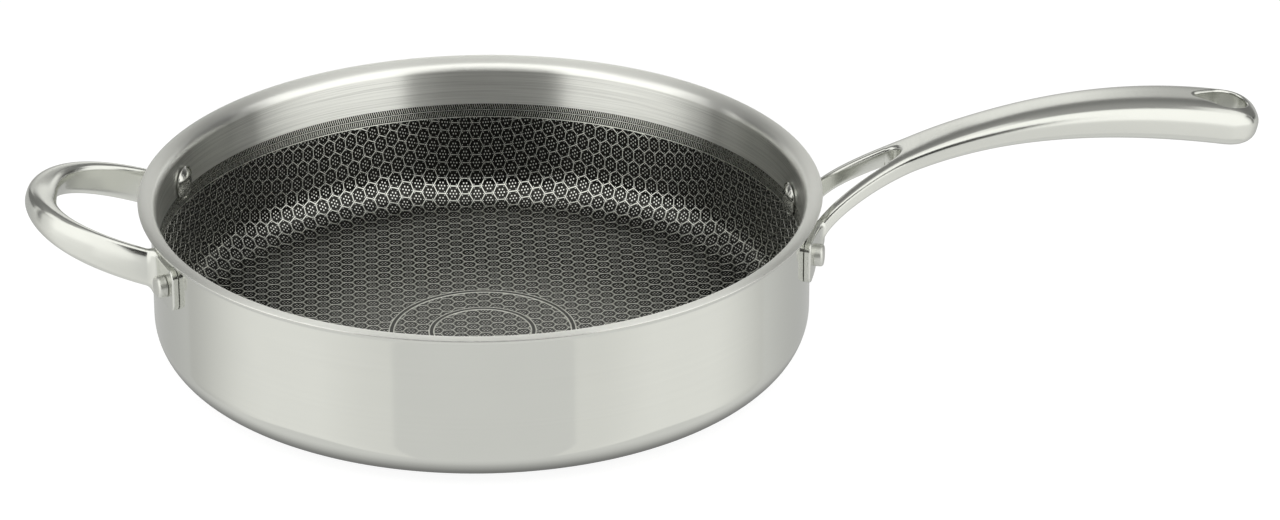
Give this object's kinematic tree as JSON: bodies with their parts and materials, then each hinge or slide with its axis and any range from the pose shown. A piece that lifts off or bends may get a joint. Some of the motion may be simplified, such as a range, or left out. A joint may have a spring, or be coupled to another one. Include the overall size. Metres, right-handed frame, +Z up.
{
  "type": "deep saute pan with helper handle",
  "caption": "Deep straight-sided clad pan with a rolled rim, dark honeycomb coating inside, a forked cast long handle with a hanging hole and a helper loop, riveted on.",
  "frame": {"origin": "centre of the flat underside, on the surface the pan stands on", "axes": "+X along the long handle, +Z up out of the pan, +Y to the back as seen with the long handle to the right"},
  "size_m": [0.5231, 0.2904, 0.1073],
  "materials": {
    "polished_steel": "polished stainless steel, near mirror",
    "core_aluminium": "plain rolled aluminium, hidden inside the cladding",
    "brushed_steel": "brushed round the wall, with bare ridges of a honeycomb standing through the coating",
    "dark_coating": "dark nonstick film in honeycomb cells with small bare steel dots",
    "cast_steel": "cast stainless steel, polished with a soft sheen",
    "rivet_steel": "polished stainless steel"
  },
  "bodies": {
    "root": {"outer_shell": "polished_steel", "aluminium_core": "core_aluminium", "inner_liner": "brushed_steel", "nonstick_coating": "dark_coating", "long_handle": "cast_steel", "helper_handle": "cast_steel", "long_handle_rivet_front": "rivet_steel", "long_handle_rivet_back": "rivet_steel", "helper_handle_rivet_front": "rivet_steel", "helper_handle_rivet_back": "rivet_steel"}
  },
  "joints": []
}
